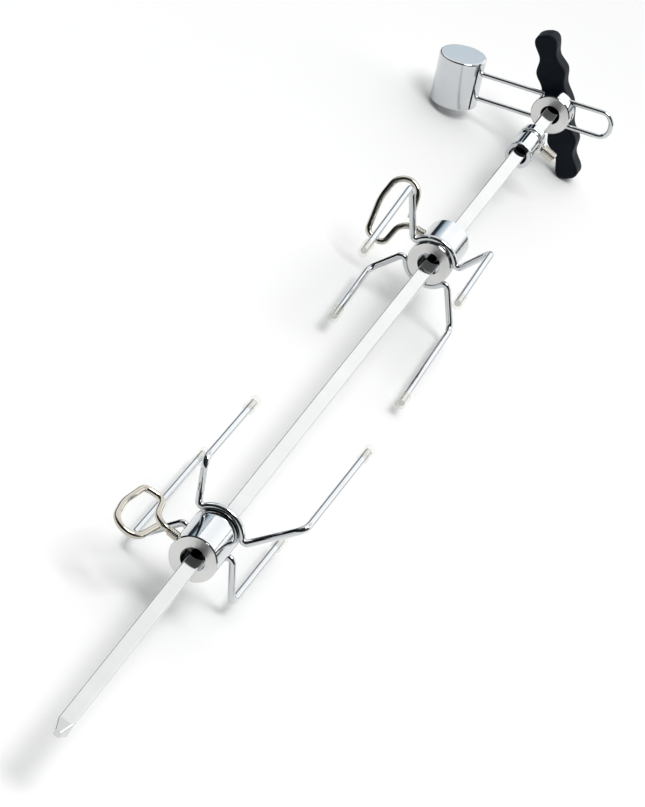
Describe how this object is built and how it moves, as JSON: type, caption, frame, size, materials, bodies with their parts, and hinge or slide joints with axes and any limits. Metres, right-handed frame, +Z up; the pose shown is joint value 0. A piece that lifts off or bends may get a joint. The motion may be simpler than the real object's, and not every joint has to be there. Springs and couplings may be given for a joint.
{
  "type": "rotisserie spit",
  "caption": "Square rotisserie rod with sliding four-prong forks, looped thumbscrews, a support bushing, a framed counterweight and a T handle.",
  "frame": {"origin": "centre of the drive tip's end face, on the rod's axis", "axes": "+X along the rod from its drive tip to the handle, +Z up with two of the rod's flats level, +Y to the left seen along +X"},
  "size_m": [0.8402, 0.1166, 0.075],
  "materials": {
    "chrome": "polished",
    "nickel": "polished",
    "handle_plastic": "satin",
    "cap_vinyl": "clear soft vinyl"
  },
  "bodies": {
    "rod": {"spit_rod": "chrome"},
    "near_fork": {"near_fork_hub": "chrome", "near_fork_upper_wire": "chrome", "near_fork_lower_wire": "chrome"},
    "far_fork": {"far_fork_hub": "chrome", "far_fork_upper_wire": "chrome", "far_fork_lower_wire": "chrome"},
    "near_thumbscrew": {"near_fork_thumbscrew": "nickel"},
    "far_thumbscrew": {"far_fork_thumbscrew": "nickel"},
    "bushing": {"bushing": "nickel"},
    "bushing_screw": {"bushing_thumbscrew": "nickel"},
    "counterweight_clamp": {"counterweight_hub": "chrome"},
    "counterweight_grub": {"counterweight_grub_screw": "nickel"},
    "counterweight_arm": {"counterweight_frame": "chrome", "counterweight": "chrome"},
    "handle": {"handle_grip": "handle_plastic"},
    "far_lower_long_cap_body": {"far_lower_long_cap": "cap_vinyl"},
    "far_lower_short_cap_body": {"far_lower_short_cap": "cap_vinyl"},
    "far_upper_long_cap_body": {"far_upper_long_cap": "cap_vinyl"},
    "far_upper_short_cap_body": {"far_upper_short_cap": "cap_vinyl"},
    "near_lower_long_cap_body": {"near_lower_long_cap": "cap_vinyl"},
    "near_lower_short_cap_body": {"near_lower_short_cap": "cap_vinyl"},
    "near_upper_long_cap_body": {"near_upper_long_cap": "cap_vinyl"},
    "near_upper_short_cap_body": {"near_upper_short_cap": "cap_vinyl"}
  },
  "joints": [
    {"name": "near_fork_slide", "type": "slide", "parent": "rod", "child": "near_fork", "axis": [1, 0, 0], "range_m": [-0.17, 0.075]},
    {"name": "far_fork_slide", "type": "slide", "parent": "rod", "child": "far_fork", "axis": [1, 0, 0], "range_m": [-0.075, 0.12]},
    {"name": "near_thumbscrew_turn", "type": "hinge", "parent": "near_fork", "child": "near_thumbscrew", "pos_m": [0.1936, 0.0012, 0], "axis": [0, 0.9962, 0.0872], "continuous": true},
    {"name": "far_thumbscrew_turn", "type": "hinge", "parent": "far_fork", "child": "far_thumbscrew", "pos_m": [0.6019, 0.0012, 0], "axis": [0, 0.9986, -0.0523], "continuous": true},
    {"name": "bushing_slide", "type": "slide", "parent": "rod", "child": "bushing", "axis": [1, 0, 0], "range_m": [-0.01, 0.03]},
    {"name": "bushing_thumbscrew_turn", "type": "hinge", "parent": "bushing", "child": "bushing_screw", "pos_m": [0.7755, 0, 0], "axis": [0, -0.9877, -0.1564], "continuous": true},
    {"name": "counterweight_swing", "type": "hinge", "parent": "rod", "child": "counterweight_clamp", "pos_m": [0.8217, 0, 0], "axis": [1, 0, 0], "continuous": true},
    {"name": "counterweight_grub_turn", "type": "hinge", "parent": "counterweight_clamp", "child": "counterweight_grub", "pos_m": [0.8217, 0, 0], "axis": [0, 0.9516, -0.3074], "continuous": true},
    {"name": "counterweight_arm_slide", "type": "slide", "parent": "counterweight_clamp", "child": "counterweight_arm", "axis": [0, 0.9516, -0.3074], "range_m": [0, 0.019]},
    {"name": "handle_turn", "type": "hinge", "parent": "rod", "child": "handle", "pos_m": [0.8282, 0, 0], "axis": [1, 0, 0], "continuous": true},
    {"name": "far_lower_long_cap_pull", "type": "slide", "parent": "far_fork", "child": "far_lower_long_cap_body", "axis": [-0.9996, -0.0279, 0], "range_m": [0, 0.012]},
    {"name": "far_lower_short_cap_pull", "type": "slide", "parent": "far_fork", "child": "far_lower_short_cap_body", "axis": [-0.9996, -0.0279, 0], "range_m": [0, 0.012]},
    {"name": "far_upper_long_cap_pull", "type": "slide", "parent": "far_fork", "child": "far_upper_long_cap_body", "axis": [-0.9996, -0.0279, 0], "range_m": [0, 0.012]},
    {"name": "far_upper_short_cap_pull", "type": "slide", "parent": "far_fork", "child": "far_upper_short_cap_body", "axis": [-0.9996, -0.0279, 0], "range_m": [0, 0.012]},
    {"name": "near_lower_long_cap_pull", "type": "slide", "parent": "near_fork", "child": "near_lower_long_cap_body", "axis": [0.9999, -0.0105, 0], "range_m": [0, 0.012]},
    {"name": "near_lower_short_cap_pull", "type": "slide", "parent": "near_fork", "child": "near_lower_short_cap_body", "axis": [0.9999, -0.0105, 0], "range_m": [0, 0.012]},
    {"name": "near_upper_long_cap_pull", "type": "slide", "parent": "near_fork", "child": "near_upper_long_cap_body", "axis": [0.9999, -0.0105, 0], "range_m": [0, 0.012]},
    {"name": "near_upper_short_cap_pull", "type": "slide", "parent": "near_fork", "child": "near_upper_short_cap_body", "axis": [0.9999, -0.0105, 0], "range_m": [0, 0.012]}
  ]
}
